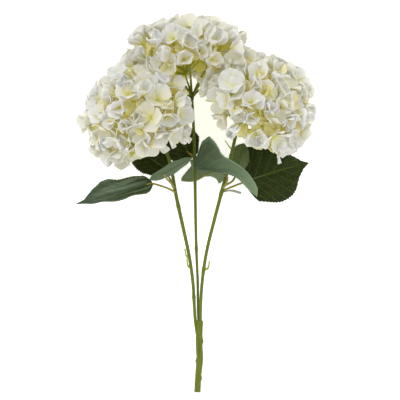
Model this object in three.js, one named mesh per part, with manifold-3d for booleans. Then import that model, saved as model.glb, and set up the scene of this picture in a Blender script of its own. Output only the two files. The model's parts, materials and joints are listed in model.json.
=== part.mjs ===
// A cut hydrangea branch with three flower heads, laid on its back on a table.
//
// Every size is in millimetres, with +Z up. The branch lies along +Y, from the cut end of its
// main stem to the crown of the top head. The three heads and the cut end rest on the table, so
// the plane that holds the stems rises from the cut end towards the heads. Places on the branch
// are given in that plane: across it, along it from the cut end, and lift, which is how far
// above the plane they are. The exported group has its origin at the middle of the branch's
// footprint, at table height.
import * as THREE from "three";
import { mergeVertices } from "three/addons/utils/BufferGeometryUtils.js";
import Module from "manifold-3d";

const wasm = await Module();
wasm.setup();

// ---- Driving dimensions -------------------------------------------------------------------

const STEM_PLANE_SLOPE = 10; // degrees that the plane of the stems rises from the table
const CLEARANCE = 0.3; // gap between two pieces that meet

const MAIN_STEM_LENGTH = 100;
const MAIN_STEM_RADIUS = 5.0; // at its widest, below the fork
const CUT_END_RADIUS = 4.5;
const BRANCH_RADIUS = 2.3; // where a branch leaves the main stem
const BRANCH_SWELL = 0.4; // how much thicker a branch is half way up
const RAY_RADIUS = 1.7; // a ray is one of the stalks that fan out under a flower head
const CYME_STALK_RADIUS = 1.2;
const PEDICEL_RADIUS = 0.8; // a pedicel carries one floret
const PETIOLE_RADIUS = 1.3; // a petiole carries one leaf

const RAY_REACH = 0.42; // share of the way from a head's node to its surface where a ray ends
const HUB_REACH = 0.58; // and where a cyme's stalk splits into pedicels

const FLORET_RADIUS = 14.5; // from a floret's axis to the end of a sepal
const FLORET_CUP = 10.5; // how far the end of a sepal stands above the middle of its floret
const FLORET_SPIN = 1.5; // radians that each floret is turned from the one before it
const SEPAL_THICKNESS = 1.1;
const SEPAL_HALF_ANGLE = 26; // degrees that a sepal's end spans to each side
const SEPAL_NOTCH = 0.34; // how far in the notch between two sepals is, as a share of the radius

const LEAF_THICKNESS = 0.8;

const GOLDEN_ANGLE = Math.PI * (3 - Math.sqrt(5));

// ---- Places -------------------------------------------------------------------------------

const slope = THREE.MathUtils.degToRad(STEM_PLANE_SLOPE);

// The point of the row frame at a place in the plane of the stems.
function at([across, along, lift]) {
  return new THREE.Vector3(
    across,
    along * Math.cos(slope) - lift * Math.sin(slope),
    along * Math.sin(slope) + lift * Math.cos(slope),
  );
}

// The same turn for a direction.
const towards = (direction) => at(direction).normalize();

// The height of the table, which the lower edge of the cut end touches.
const tableHeight = -CUT_END_RADIUS * Math.cos(slope);

// ---- Solids -------------------------------------------------------------------------------

function solidOf(geometry) {
  const bare = new THREE.BufferGeometry().setAttribute("position", geometry.getAttribute("position"));
  bare.setIndex(geometry.getIndex());
  const merged = mergeVertices(bare, 1e-4);
  return new wasm.Manifold(
    new wasm.Mesh({
      numProp: 3,
      vertProperties: merged.getAttribute("position").array,
      triVerts: new Uint32Array(merged.getIndex().array),
    }),
  );
}

function geometryOf(solid) {
  const mesh = solid.getMesh();
  const geometry = new THREE.BufferGeometry();
  geometry.setAttribute("position", new THREE.BufferAttribute(mesh.vertProperties, 3));
  geometry.setIndex(new THREE.BufferAttribute(mesh.triVerts, 1));
  geometry.computeVertexNormals();
  return geometry;
}

const joined = (solids) => solids.reduce((whole, piece) => whole.add(piece));

// A closed skin over a ring of points at each of several stations, with a fan over each end.
function skin(rings) {
  const sides = rings[0].length;
  const points = rings.flat();
  const faces = [];
  for (let i = 0; i + 1 < rings.length; i++)
    for (let k = 0; k < sides; k++) {
      const here = i * sides + k;
      const next = i * sides + ((k + 1) % sides);
      faces.push(here, next, next + sides, here, next + sides, here + sides);
    }
  const last = (rings.length - 1) * sides;
  for (let k = 1; k + 1 < sides; k++) {
    faces.push(0, k + 1, k);
    faces.push(last, last + k, last + k + 1);
  }
  const geometry = new THREE.BufferGeometry().setFromPoints(points);
  geometry.setIndex(faces);
  return geometry;
}

// A round limb through the places, its radius going evenly through the given radii.
function limb(path, radii, { sides = 8, steps = 12, grow = 0 } = {}) {
  const curve = new THREE.CatmullRomCurve3(path, false, "catmullrom", 0.5);
  const rings = [];
  for (let i = 0; i <= steps; i++) {
    const t = i / steps;
    const middle = curve.getPoint(t);
    const forward = curve.getTangent(t);
    const side = new THREE.Vector3().crossVectors(forward, towards([0, 0, 1]));
    if (side.length() < 0.2) side.crossVectors(forward, towards([1, 0, 0]));
    side.normalize();
    const up = new THREE.Vector3().crossVectors(side, forward).normalize();
    const place = t * (radii.length - 1);
    const low = Math.min(Math.floor(place), radii.length - 2);
    const radius = THREE.MathUtils.lerp(radii[low], radii[low + 1], place - low) + grow;
    const ring = [];
    for (let k = 0; k < sides; k++) {
      const angle = (-2 * Math.PI * k) / sides;
      ring.push(
        middle
          .clone()
          .addScaledVector(side, radius * Math.cos(angle))
          .addScaledVector(up, radius * Math.sin(angle)),
      );
    }
    rings.push(ring);
  }
  if (grow) {
    const back = curve.getTangent(0).multiplyScalar(-grow);
    const on = curve.getTangent(1).multiplyScalar(grow);
    rings[0].forEach((point) => point.add(back));
    rings[steps].forEach((point) => point.add(on));
  }
  return solidOf(skin(rings));
}

// ---- Stems --------------------------------------------------------------------------------

const mainStem = {
  path: [[0, 0, 0], [1.4, 24, 0], [3.4, 46, 0.4], [2.6, 70, 0], [3.4, MAIN_STEM_LENGTH, 0]],
  radii: [CUT_END_RADIUS, 4.4, 4.7, MAIN_STEM_RADIUS, MAIN_STEM_RADIUS, 4.9],
};

// The knuckles where old leaves came away: how far along, how far round from straight right,
// and how far each stands out of the main stem.
const KNUCKLES = [
  { along: 20, turn: 180, proud: 1.2 },
  { along: 47, turn: 20, proud: 1.5 },
  { along: 76, turn: 170, proud: 1.6 },
];
const KNUCKLE_RADIUS = 3.4;

// Each branch starts inside the main stem and ends in its head's node. It is trimmed by the main
// stem and by the branches before it.
const BRANCHES = {
  left: [
    [0.6, 76, 0.4], [-2.6, 98, 0.6], [-4.2, 120, 0.6], [-6.2, 154, 0], [-11.6, 192, -2],
    [-21.2, 236, -5], [-30, 276, -8], [-38.6, 322, -11], [-50, 352, -14],
  ],
  centre: [
    [2.6, 86, -0.6], [1.0, 118, -4.4], [0.4, 158, -4.6], [-1.4, 203, -6], [-2.6, 262, -8],
    [-3.6, 320, -10], [-5.6, 378, -12], [-7.4, 412, -12],
  ],
  right: [
    [4.4, 84, 0.6], [4.6, 120, 1.4], [7.2, 158, 1], [13.4, 198, -1], [23, 237, -3],
    [34.2, 280, -5], [44.4, 318, -6], [53.6, 358, -7], [56.6, 371, -7],
  ],
};

const branchRadii = [BRANCH_RADIUS, BRANCH_RADIUS, BRANCH_RADIUS + BRANCH_SWELL, BRANCH_RADIUS];

function branchLimb(name, grow = 0) {
  return limb(BRANCHES[name].map(at), branchRadii, { sides: 8, steps: 14, grow });
}

function mainStemSolid(grow = 0) {
  const path = mainStem.path.map(at);
  const stem = limb(path, mainStem.radii, { sides: 12, steps: 14, grow });
  const curve = new THREE.CatmullRomCurve3(path, false, "catmullrom", 0.5);
  const knuckles = KNUCKLES.map(({ along, turn, proud }) => {
    const middle = curve.getPointAt(along / MAIN_STEM_LENGTH);
    const angle = THREE.MathUtils.degToRad(turn);
    const out = towards([Math.cos(angle), 0, Math.sin(angle)]);
    const rise = towards([0, 1, 0]);
    const shift = MAIN_STEM_RADIUS - KNUCKLE_RADIUS + proud;
    const foot = middle.clone().addScaledVector(rise, -9);
    const lip = middle.clone().addScaledVector(out, shift);
    return limb([foot, lip], [1.6, KNUCKLE_RADIUS], { sides: 8, steps: 2, grow });
  });
  return joined([stem, ...knuckles]);
}

// ---- Flower heads -------------------------------------------------------------------------

// A head's florets sit on a spheroid about its centre: `broad` is its radius at right angles to
// the line from the node to the centre, and `tall` its radius along that line. `skirt` is how
// far round from the crown, in degrees, the florets reach, and `deep` squeezes the head between
// the table and the sky. `cover` is the share of the spheroid down to the skirt that its open
// florets would cover side by side, and `gives` is how far outside a neighbouring head they stay.
const HEADS = {
  left: { node: [-50, 352, -14], centre: [-78, 390, 10], broad: 71, tall: 64, deep: 1, skirt: 122,
    cover: 0.794, cymes: 9, turn: 0.4, gives: { top: 0.98, right: 1 } },
  top: { node: [-7.4, 413, -12], centre: [-14, 459, -14], broad: 74, tall: 58, deep: 0.86, skirt: 108,
    cover: 0.93, cymes: 8, turn: 1.3, gives: { left: 1.26, right: 1.26 } },
  right: { node: [56.6, 371, -7], centre: [84, 404, 12], broad: 75, tall: 53, deep: 1, skirt: 118,
    cover: 0.777, cymes: 9, turn: 2.2, gives: { top: 0.98, left: 1 } },
};

// The area of a head's spheroid from its crown down to each of AREA_STEPS even polar angles, the
// last of them its skirt's.
const AREA_STEPS = 400;

function areasDown(head) {
  const step = THREE.MathUtils.degToRad(head.skirt) / AREA_STEPS;
  const areas = [0];
  for (let i = 1; i <= AREA_STEPS; i++) {
    const angle = step * (i - 0.5);
    const slant = Math.hypot(head.broad * Math.cos(angle), head.tall * Math.sin(angle));
    const round = 2 * Math.PI * head.broad * head.deep * Math.sin(angle);
    areas.push(areas[i - 1] + round * slant * step);
  }
  return areas;
}

// The polar angle within which the spheroid holds a share of its area down to the skirt.
function polarAngles(head) {
  const areas = areasDown(head);
  return (share) => {
    const i = areas.findIndex((area) => area >= share * areas[AREA_STEPS]);
    return (THREE.MathUtils.degToRad(head.skirt) * i) / AREA_STEPS;
  };
}

// How many open florets cover the head's share of its spheroid.
function floretCount(head) {
  const flat = Math.PI * FLORET_RADIUS ** 2;
  return Math.round((head.cover * areasDown(head)[AREA_STEPS]) / flat);
}

// The head's own axes: from node to crown, and two across it, the second nearer to straight up.
function headAxes(head) {
  const crown = at(head.centre).sub(at(head.node)).normalize();
  const side = new THREE.Vector3().crossVectors(crown, new THREE.Vector3(0, 0, 1)).normalize();
  const rise = new THREE.Vector3().crossVectors(side, crown).normalize();
  return { crown, side, rise };
}

// `count` places spread evenly over the head on a golden-angle spiral from the crown down, each
// with its offset from the centre and the direction that it faces.
function sites(head, count) {
  const { crown, side, rise } = headAxes(head);
  const polar = polarAngles(head);
  const found = [];
  for (let i = 0; i < count; i++) {
    const down = polar((i + 0.5) / count);
    const round = i * GOLDEN_ANGLE + head.turn;
    const c = Math.cos(down);
    const s = Math.sin(down) * Math.cos(round);
    const r = Math.sin(down) * Math.sin(round);
    const offset = crown
      .clone()
      .multiplyScalar(head.tall * c)
      .addScaledVector(side, head.broad * s)
      .addScaledVector(rise, head.broad * head.deep * r);
    const facing = crown
      .clone()
      .multiplyScalar(c / head.tall)
      .addScaledVector(side, s / head.broad)
      .addScaledVector(rise, r / (head.broad * head.deep))
      .normalize();
    found.push({ index: i, offset, facing });
  }
  return found;
}

// How far out of a head a point is: 1 on the spheroid that holds its florets.
function depthIn(head, point) {
  const { crown, side, rise } = headAxes(head);
  const from = point.clone().sub(head.middle);
  return Math.hypot(
    from.dot(crown) / head.tall,
    from.dot(side) / head.broad,
    from.dot(rise) / (head.broad * head.deep),
  );
}

// The corners of one floret: a middle, then for each of its four sepals a notch and two ends.
function floretCorners({ base, facing, spin }) {
  const first = new THREE.Vector3().crossVectors(facing, towards([0, 1, 0]));
  if (first.length() < 0.1) first.crossVectors(facing, towards([1, 0, 0]));
  first.normalize();
  const second = new THREE.Vector3().crossVectors(facing, first);
  const corner = (angle, share) =>
    base
      .clone()
      .addScaledVector(first, FLORET_RADIUS * share * Math.cos(angle))
      .addScaledVector(second, FLORET_RADIUS * share * Math.sin(angle))
      .addScaledVector(facing, FLORET_CUP * share * share);
  const half = THREE.MathUtils.degToRad(SEPAL_HALF_ANGLE);
  const rim = [];
  for (let k = 0; k < 4; k++) {
    const middle = spin + (k * Math.PI) / 2;
    rim.push(corner(middle - Math.PI / 4, SEPAL_NOTCH), corner(middle - half, 1), corner(middle + half, 1));
  }
  return rim;
}

// A floret and its pedicel as one skin: from a small triangle in the middle of the floret's
// underside, the pedicel runs back to the hub.
function floretSolid(floret, hub) {
  const rim = floretCorners(floret);
  const n = rim.length;
  const lift = floret.facing.clone().multiplyScalar(SEPAL_THICKNESS);
  const outward = rim[1].clone().sub(rim[7]).normalize();
  const around = new THREE.Vector3().crossVectors(floret.facing, outward);
  const collar = [];
  for (let k = 0; k < 3; k++) {
    const angle = (2 * Math.PI * k) / 3;
    collar.push(
      outward
        .clone()
        .multiplyScalar(PEDICEL_RADIUS * Math.cos(angle))
        .addScaledVector(around, PEDICEL_RADIUS * Math.sin(angle)),
    );
  }
  const points = [
    floret.base.clone().add(lift),
    ...rim.map((point) => point.clone().add(lift)),
    ...rim,
    ...collar.map((out) => floret.base.clone().add(out)),
    ...collar.map((out) => hub.clone().add(out)),
  ];
  const top = (k) => 1 + (k % n);
  const under = (k) => 1 + n + (k % n);
  const neck = (k) => 1 + 2 * n + (k % 3);
  const foot = (k) => 4 + 2 * n + (k % 3);
  const faces = [];
  for (let k = 0; k < n; k++) faces.push(0, top(k), top(k + 1), top(k), under(k), under(k + 1));
  for (let k = 0; k < n; k++) faces.push(top(k), under(k + 1), top(k + 1));
  for (let k = 0; k < n; k++) {
    const third = Math.floor(((k + 1) % n) / 4);
    faces.push(neck(third), under(k + 1), under(k));
    if (k % 4 === 2) faces.push(neck(third), neck(third + 1), under(k + 1));
  }
  for (let k = 0; k < 3; k++) {
    faces.push(neck(k), foot(k + 1), neck(k + 1), neck(k), foot(k), foot(k + 1));
  }
  faces.push(foot(0), foot(2), foot(1));
  const geometry = new THREE.BufferGeometry().setFromPoints(points);
  geometry.setIndex(faces);
  return solidOf(geometry);
}

// Each head is set down on the table: its middle is moved up or down until its lowest floret
// touches. `settled` is the same move, as lift.
function setDown(head) {
  head.middle = at(head.centre);
  head.root = at(head.node);
  head.sites = sites(head, floretCount(head));
  for (const site of head.sites) site.spin = site.index * FLORET_SPIN;
  const lowest = Math.min(
    ...head.sites.flatMap((site) =>
      floretCorners({ base: head.middle.clone().add(site.offset), facing: site.facing, spin: site.spin }).map(
        (corner) => corner.z,
      ),
    ),
  );
  head.middle.z += tableHeight - lowest;
  head.settled = (tableHeight - lowest) / Math.cos(slope);
}

for (const head of Object.values(HEADS)) setDown(head);

// Florets that would lie in a neighbouring head are left out, as the heads crowd each other.
for (const head of Object.values(HEADS)) {
  head.sites = head.sites
    .map((site) => ({ ...site, base: head.middle.clone().add(site.offset) }))
    .filter((site) =>
      Object.entries(head.gives).every(([other, clear]) => depthIn(HEADS[other], site.base) > clear),
    );
}

// Sorts the head's florets into cymes by the nearest stalk's tip. A stalk that is nearest to none
// takes the floret nearest to it from a cyme that has others.
function cymesOf(head) {
  const stalks = sites(head, head.cymes).map((site) => ({
    tip: head.middle.clone().add(site.offset),
    florets: [],
  }));
  for (const floret of head.sites) {
    const nearest = stalks.reduce((best, stalk) =>
      stalk.tip.distanceTo(floret.base) < best.tip.distanceTo(floret.base) ? stalk : best,
    );
    nearest.florets.push(floret);
  }
  for (const stalk of stalks.filter(({ florets }) => florets.length === 0)) {
    const far = ({ base }) => base.distanceTo(stalk.tip);
    const givers = stalks.filter(({ florets }) => florets.length > 1);
    const floret = givers.flatMap(({ florets }) => florets).reduce((a, b) => (far(b) < far(a) ? b : a));
    const giver = givers.find(({ florets }) => florets.includes(floret));
    giver.florets.splice(giver.florets.indexOf(floret), 1);
    stalk.florets.push(floret);
  }
  return stalks;
}

// A cyme: a stalk on the end of its ray, and a pedicel to each of its florets.
function cymeSolid(head, cyme) {
  const start = head.root.clone().lerp(cyme.tip, RAY_REACH);
  const hub = head.root.clone().lerp(cyme.tip, HUB_REACH);
  const forward = hub.clone().sub(start).normalize();
  start.addScaledVector(forward, CLEARANCE);
  const stalk = limb([start, hub.clone().addScaledVector(forward, 1)], [CYME_STALK_RADIUS, CYME_STALK_RADIUS], {
    sides: 5,
    steps: 1,
  });
  return joined([stalk, ...cyme.florets.map((floret) => floretSolid(floret, hub))]);
}

// The fan of rays under a head, on the end of its branch.
function raysSolid(head, cymes, branch) {
  const rays = cymes.map((cyme) =>
    limb([head.root, head.root.clone().lerp(cyme.tip, RAY_REACH)], [RAY_RADIUS, CYME_STALK_RADIUS + 0.1], {
      sides: 6,
      steps: 1,
    }),
  );
  const crown = headAxes(head).crown;
  const knot = limb(
    [head.root.clone().addScaledVector(crown, -1), head.root.clone().addScaledVector(crown, 5)],
    [BRANCH_RADIUS + 0.5, BRANCH_RADIUS],
    { sides: 8, steps: 1 },
  );
  return joined([knot, ...rays]).subtract(branch);
}

// ---- Leaves -------------------------------------------------------------------------------

// A leaf's petiole runs from inside its branch, which trims it, and joins the midrib at `join`
// of its length. `face` is the way that the upper side looks at the foot and at the tip. `left`
// and `right` are the half widths, evenly spaced from foot to tip, on the left and the right of
// someone who walks up the leaf's face, and `fold` is how far the two halves are folded up out of
// flat, in degrees. A leaf that lies under a head settles with it.
const LEAVES = {
  left_long_leaf: {
    on: "left", petiole: [[-30.5, 279, -8], [-41, 285, -2], [-62, 291.5, 6]], join: 0.08,
    midrib: [[-62, 292, 6], [-90, 284.5, 12], [-117, 275, 14], [-144, 267.5, 12], [-170, 263, 8]],
    face: [[0, 0.72, 0.69], [0, 0.72, 0.69]], fold: [14, 16],
    left: [12, 21, 19, 20, 15, 10, 7, 3, 0], right: [16, 17, 19, 22, 27, 28, 20, 5, 0],
  },
  left_inner_leaf: {
    on: "left", petiole: [[-33, 286, -8], [-36.5, 292, 3], [-42, 298, 14]], join: 0.25,
    midrib: [[-66, 297, 19], [-46, 305, 23], [-29, 314.5, 24], [-17, 321.5, 22], [-6, 328, 18]],
    face: [[-0.35, 0.5, -0.8], [-0.35, 0.4, -0.85]], fold: [10, 16],
    left: [4, 8, 9, 8, 6.5, 4.5, 0], right: [4, 7, 9, 9, 7, 4.5, 0],
  },
  left_back_leaf: {
    on: "left", under: "left", petiole: [[-34, 290, -9], [-39, 299, -20]], join: 0.08,
    midrib: [[-44, 312, -26], [-62, 325, -34], [-82, 337, -43], [-106, 348, -51]],
    face: [[0.1, 0.1, 1], [0, 0.3, 1]], fold: [6, 8],
    left: [14, 20, 24, 24, 20, 10, 0], right: [14, 21, 26, 26, 20, 10, 0],
  },
  centre_back_leaf: {
    on: "centre", under: "left", petiole: [[-3.9, 326, -10], [-8, 332, -18]], join: 0.2,
    midrib: [[-10, 327, -26], [-17, 345, -29], [-22, 362, -32], [-28, 378, -35]],
    face: [[0.1, 0.2, 1], [0, 0.3, 1]], fold: [8, 8],
    left: [20, 28, 30, 28, 22, 12, 0], right: [10, 16, 20, 22, 18, 10, 0],
  },
  centre_folded_leaf: {
    on: "centre", petiole: [[-3.3, 314, -9.6], [1, 315, -3], [5, 315, 3]], join: 0.1,
    midrib: [
      [-5, 314, 3], [12, 312, 8], [29, 310, 14], [46.5, 309, 20], [61, 302, 23], [73, 288, 23], [83, 273, 19],
    ],
    face: [[-0.1, 0.1, -1], [0.3, 0.3, -1]], fold: [10, 4],
    left: [3, 3, 4, 5, 6, 6.5, 6.5, 5, 0], right: [24, 38, 46, 39, 29, 20, 14, 11, 9.5, 9, 8.5, 6.5, 0],
  },
  centre_low_leaf: {
    on: "right", petiole: [[35.4, 284, -5], [41, 293, 0], [41.6, 301, 0.6]], join: 0.08,
    midrib: [[39, 305, -0.6], [25, 307, -8], [10, 303.5, -16], [-4, 297, -21], [-23, 295.5, -24]],
    face: [[0, 0.05, -1], [0, -0.05, -1]], fold: [8, 12],
    left: [8, 16, 22, 25, 28, 28, 23, 16, 4], right: [10, 15, 9, 4, 2, 2, 2, 1.5, 0],
  },
  right_big_leaf: {
    on: "right", under: "right", petiole: [[34.5, 281, -5], [48, 287, -8]], join: 0.12,
    midrib: [[66, 294.5, -17], [97, 304.5, -26], [128, 314, -33], [160, 322, -38]],
    face: [[0.05, 0.35, 0.93], [0, 0.3, 0.95]], fold: [5, 5],
    left: [31, 40, 46, 47, 46, 42, 35, 25, 15, 5, 0], right: [30, 36, 41, 44, 46, 45, 41, 33, 17, 6, 0],
  },
  right_inner_leaf: {
    on: "right", under: "right", petiole: [[36, 288, -5], [50, 296, -9]], join: 0.08,
    midrib: [[55, 306, -8], [57, 320, -12], [61, 335, -17], [67, 350, -23]],
    face: [[0.2, 0.4, 0.9], [0.2, 0.4, 0.9]], fold: [12, 16],
    left: [7, 11, 14, 15, 13, 9, 0], right: [6, 10, 14, 15, 13, 9, 0],
  },
};

// The places of a leaf's midrib, which settle with the head that it lies under.
function midribOf(leaf) {
  const settled = leaf.under ? HEADS[leaf.under].settled : 0;
  return leaf.midrib.map(([across, along, lift]) => at([across, along, lift + settled]));
}

const FOOT_ROUND = 0.07; // share of a blade's length in which its foot rounds off
const LEAST_HALF_WIDTH = 1.4;

// The half width of one side of a blade at a share of the way along its midrib.
function bladeWidth(widths, t) {
  const place = t * (widths.length - 1);
  const low = Math.min(Math.floor(place), widths.length - 2);
  const width = THREE.MathUtils.lerp(widths[low], widths[low + 1], place - low);
  return Math.max(width * Math.sqrt(Math.min(1, t / FOOT_ROUND)), LEAST_HALF_WIDTH);
}

const BLADE_STATIONS = 12;
const BLADE_HALF_CELLS = 2;

function bladeSolid(leaf, curve) {
  const [faceFoot, faceTip] = leaf.face.map(towards);
  const rings = [];
  for (let i = 0; i <= BLADE_STATIONS; i++) {
    const t = 0.012 + (0.976 * i) / BLADE_STATIONS;
    const middle = curve.getPoint(t);
    const forward = curve.getTangent(t);
    const face = faceFoot.clone().lerp(faceTip, t);
    const left = new THREE.Vector3().crossVectors(face, forward).normalize();
    const up = new THREE.Vector3().crossVectors(forward, left).normalize();
    const row = [];
    for (let j = -BLADE_HALF_CELLS; j <= BLADE_HALF_CELLS; j++) {
      const fold = THREE.MathUtils.degToRad(leaf.fold[j < 0 ? 1 : 0]);
      const out = (bladeWidth(j < 0 ? leaf.right : leaf.left, t) * j) / BLADE_HALF_CELLS;
      const point = middle
        .clone()
        .addScaledVector(left, out * Math.cos(fold))
        .addScaledVector(up, Math.abs(out) * Math.sin(fold));
      const tilt = j === 0 ? 0 : Math.sign(j) * -fold;
      const normal = up
        .clone()
        .multiplyScalar(Math.cos(tilt))
        .addScaledVector(left, Math.sin(tilt));
      row.push({ point, normal });
    }
    const upper = row.map(({ point, normal }) => point.clone().addScaledVector(normal, LEAF_THICKNESS / 2));
    const lower = row.map(({ point, normal }) => point.clone().addScaledVector(normal, -LEAF_THICKNESS / 2));
    rings.push([...upper, ...lower.reverse()]);
  }
  return solidOf(skinnedBlade(rings));
}

// The blade's skin: as `skin`, but each end is closed by a strip across the thickness.
function skinnedBlade(rings) {
  const sides = rings[0].length;
  const faces = [];
  for (let i = 0; i + 1 < rings.length; i++)
    for (let k = 0; k < sides; k++) {
      const here = i * sides + k;
      const next = i * sides + ((k + 1) % sides);
      faces.push(here, here + sides, next + sides, here, next + sides, next);
    }
  const last = (rings.length - 1) * sides;
  for (let k = 0; k + 1 < sides / 2; k++) {
    const [a, b, c, d] = [k, k + 1, sides - 2 - k, sides - 1 - k];
    faces.push(a, b, c, a, c, d);
    faces.push(last + a, last + c, last + b, last + a, last + d, last + c);
  }
  const geometry = new THREE.BufferGeometry().setFromPoints(rings.flat());
  geometry.setIndex(faces);
  return geometry;
}

function leafSolid(leaf, branch) {
  const curve = new THREE.CatmullRomCurve3(midribOf(leaf), false, "catmullrom", 0.5);
  const into = curve.getPoint(leaf.join);
  const petiole = limb([...leaf.petiole.map(at), into], [PETIOLE_RADIUS, PETIOLE_RADIUS, 1.0], {
    sides: 6,
    steps: 6,
  });
  return joined([petiole, bladeSolid(leaf, curve)]).subtract(branch);
}

// ---- Buds and twigs -----------------------------------------------------------------------

const SHOOTS = {
  left_upper_bud: { on: "left", path: [[-11, 187, -1.6], [-15.6, 191, 0], [-17.6, 201, 1]], radii: [1.5, 1.1, 0.6] },
  left_lower_bud: { on: "left", path: [[-8.6, 173, -0.8], [-13.2, 177, 0], [-14.6, 187, 1]], radii: [1.5, 1.1, 0.6] },
  right_bud: { on: "right", path: [[9.4, 171, 0.4], [15.2, 174, 1], [17, 184, 2]], radii: [1.5, 1.2, 0.7] },
  right_twig: { on: "right", path: [[49.5, 338, -6.4], [44, 345, -3], [39, 352, 0]], radii: [1.2, 0.9, 0.5] },
  right_sheath: { on: "right", path: [[36, 280, -4], [47, 282, 4], [61, 278.5, 7]], radii: [1.0, 1.0, 2.0, 1.6] },
};

function shootSolid(shoot, branch) {
  return limb(shoot.path.map(at), shoot.radii, { sides: 6, steps: 5 }).subtract(branch);
}

// ---- Materials ----------------------------------------------------------------------------

const finish = (color, roughness) =>
  new THREE.MeshStandardMaterial({ color, roughness, metalness: 0, side: THREE.FrontSide });

const materials = {
  stem: finish("#8b9a3c", 0.55),
  ray: finish("#7f8f30", 0.55),
  sepal: finish("#eeeedd", 0.7),
  leafUpper: finish("#2f4a20", 0.6),
  leafUnder: finish("#6f8a68", 0.7),
  shoot: finish("#a5a83a", 0.6),
};

const UNDERSIDE_LEAVES = ["left_inner_leaf", "centre_folded_leaf", "centre_low_leaf"];

// ---- Assembly -----------------------------------------------------------------------------

const branch = new THREE.Group();

function place(name, solid, material) {
  const mesh = new THREE.Mesh(geometryOf(solid), material);
  mesh.name = name;
  branch.add(mesh);
}

// The branches end where their heads' nodes came to rest.
for (const name of Object.keys(BRANCHES)) {
  const head = HEADS[{ left: "left", centre: "top", right: "right" }[name]];
  BRANCHES[name].pop();
  BRANCHES[name].push(head.node);
}

const roomForMainStem = mainStemSolid(CLEARANCE);
place("main_stem", mainStemSolid(), materials.stem);
const roomFor = {};
for (const name of Object.keys(BRANCHES)) {
  const rooms = [roomForMainStem, ...Object.values(roomFor)];
  place(`${name}_branch`, rooms.reduce((solid, room) => solid.subtract(room), branchLimb(name)), materials.stem);
  roomFor[name] = branchLimb(name, CLEARANCE);
}
for (const [name, head] of Object.entries(HEADS)) {
  const cymes = cymesOf(head);
  place(`${name}_head_rays`, raysSolid(head, cymes, roomFor[name === "top" ? "centre" : name]), materials.ray);
  cymes.forEach((cyme, i) => place(`${name}_cyme_${i + 1}`, cymeSolid(head, cyme), materials.sepal));
}
for (const [name, leaf] of Object.entries(LEAVES)) {
  const material = UNDERSIDE_LEAVES.includes(name) ? materials.leafUnder : materials.leafUpper;
  place(name, leafSolid(leaf, roomFor[leaf.on]), material);
}
for (const [name, shoot] of Object.entries(SHOOTS)) place(name, shootSolid(shoot, roomFor[shoot.on]), materials.shoot);

const size = new THREE.Box3().setFromObject(branch);
branch.position.set(-(size.min.x + size.max.x) / 2, -(size.min.y + size.max.y) / 2, -size.min.z);

export default branch;
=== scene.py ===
"""A cut hydrangea branch with three mophead flower heads, lying on its back on a table."""

import json
import math
import random
from functools import partial

import bpy
import numpy as np
from mathutils import Matrix, Vector, noise

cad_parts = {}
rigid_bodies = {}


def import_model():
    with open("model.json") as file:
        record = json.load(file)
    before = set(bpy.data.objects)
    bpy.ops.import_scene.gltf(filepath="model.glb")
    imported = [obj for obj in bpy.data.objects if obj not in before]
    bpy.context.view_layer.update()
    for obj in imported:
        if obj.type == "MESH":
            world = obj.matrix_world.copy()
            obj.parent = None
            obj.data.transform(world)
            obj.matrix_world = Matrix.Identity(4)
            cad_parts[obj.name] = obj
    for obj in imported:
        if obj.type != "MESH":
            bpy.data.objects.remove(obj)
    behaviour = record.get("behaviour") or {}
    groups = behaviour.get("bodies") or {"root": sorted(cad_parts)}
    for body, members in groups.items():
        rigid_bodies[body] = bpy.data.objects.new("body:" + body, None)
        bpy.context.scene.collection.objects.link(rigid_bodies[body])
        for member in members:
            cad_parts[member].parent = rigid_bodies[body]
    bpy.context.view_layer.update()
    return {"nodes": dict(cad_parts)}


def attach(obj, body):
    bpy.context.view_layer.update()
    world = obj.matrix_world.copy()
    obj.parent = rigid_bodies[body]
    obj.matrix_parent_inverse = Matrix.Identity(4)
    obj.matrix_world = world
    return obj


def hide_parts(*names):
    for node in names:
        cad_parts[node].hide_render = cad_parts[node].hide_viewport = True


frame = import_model()

bl_info = {
    "name": "Cut hydrangea branch",
    "version": (1, 0, 0),
    "blender": (4, 5, 0),
    "location": "3D View > Sidebar > Hydrangea",
    "description": "Builds a cut hydrangea branch round its packed solids",
    "category": "Add Mesh",
}

MM = 0.001

# ---- Places ----
# A place is in millimetres in the plane of the stems: across it, along it from the cut end, and
# lift above it. Everything is worked out in millimetres and written to meshes in metres.

STEM_PLANE_SLOPE = math.radians(10)
CUT_END_SIDES = 12


def cut_end():
    """The middle of the main stem's cut end, in the branch's frame."""
    corners = {tuple(round(c / MM, 3) for c in v.co) for v in frame["nodes"]["main_stem"].data.vertices}
    rise = Vector((0, math.cos(STEM_PLANE_SLOPE), math.sin(STEM_PLANE_SLOPE)))
    ring = sorted(corners, key=lambda corner: Vector(corner).dot(rise))[:CUT_END_SIDES]
    return sum((Vector(corner) for corner in ring), Vector()) / CUT_END_SIDES


ORIGIN = cut_end()


def turned(direction):
    """A direction in the plane of the stems, in the branch's frame."""
    across, along, lift = direction
    c, s = math.cos(STEM_PLANE_SLOPE), math.sin(STEM_PLANE_SLOPE)
    return Vector((across, along * c - lift * s, along * s + lift * c))


def at(place):
    """A place in the plane of the stems, in the branch's frame."""
    return ORIGIN + turned(place)


def towards(direction):
    return turned(direction).normalized()


def smooth_path(path, count):
    """`count` places evenly through a uniform Catmull-Rom curve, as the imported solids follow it."""
    ends = [2 * path[0] - path[1], *path, 2 * path[-1] - path[-2]]
    found = []
    for i in range(count):
        place = i / (count - 1) * (len(path) - 1)
        low = min(int(place), len(path) - 2)
        t = place - low
        before, start, end, after = ends[low : low + 4]
        leave = (end - before) / 2
        arrive = (after - start) / 2
        found.append(
            start * (2 * t**3 - 3 * t**2 + 1)
            + leave * (t**3 - 2 * t**2 + t)
            + end * (3 * t**2 - 2 * t**3)
            + arrive * (t**3 - t**2)
        )
    return found


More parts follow.
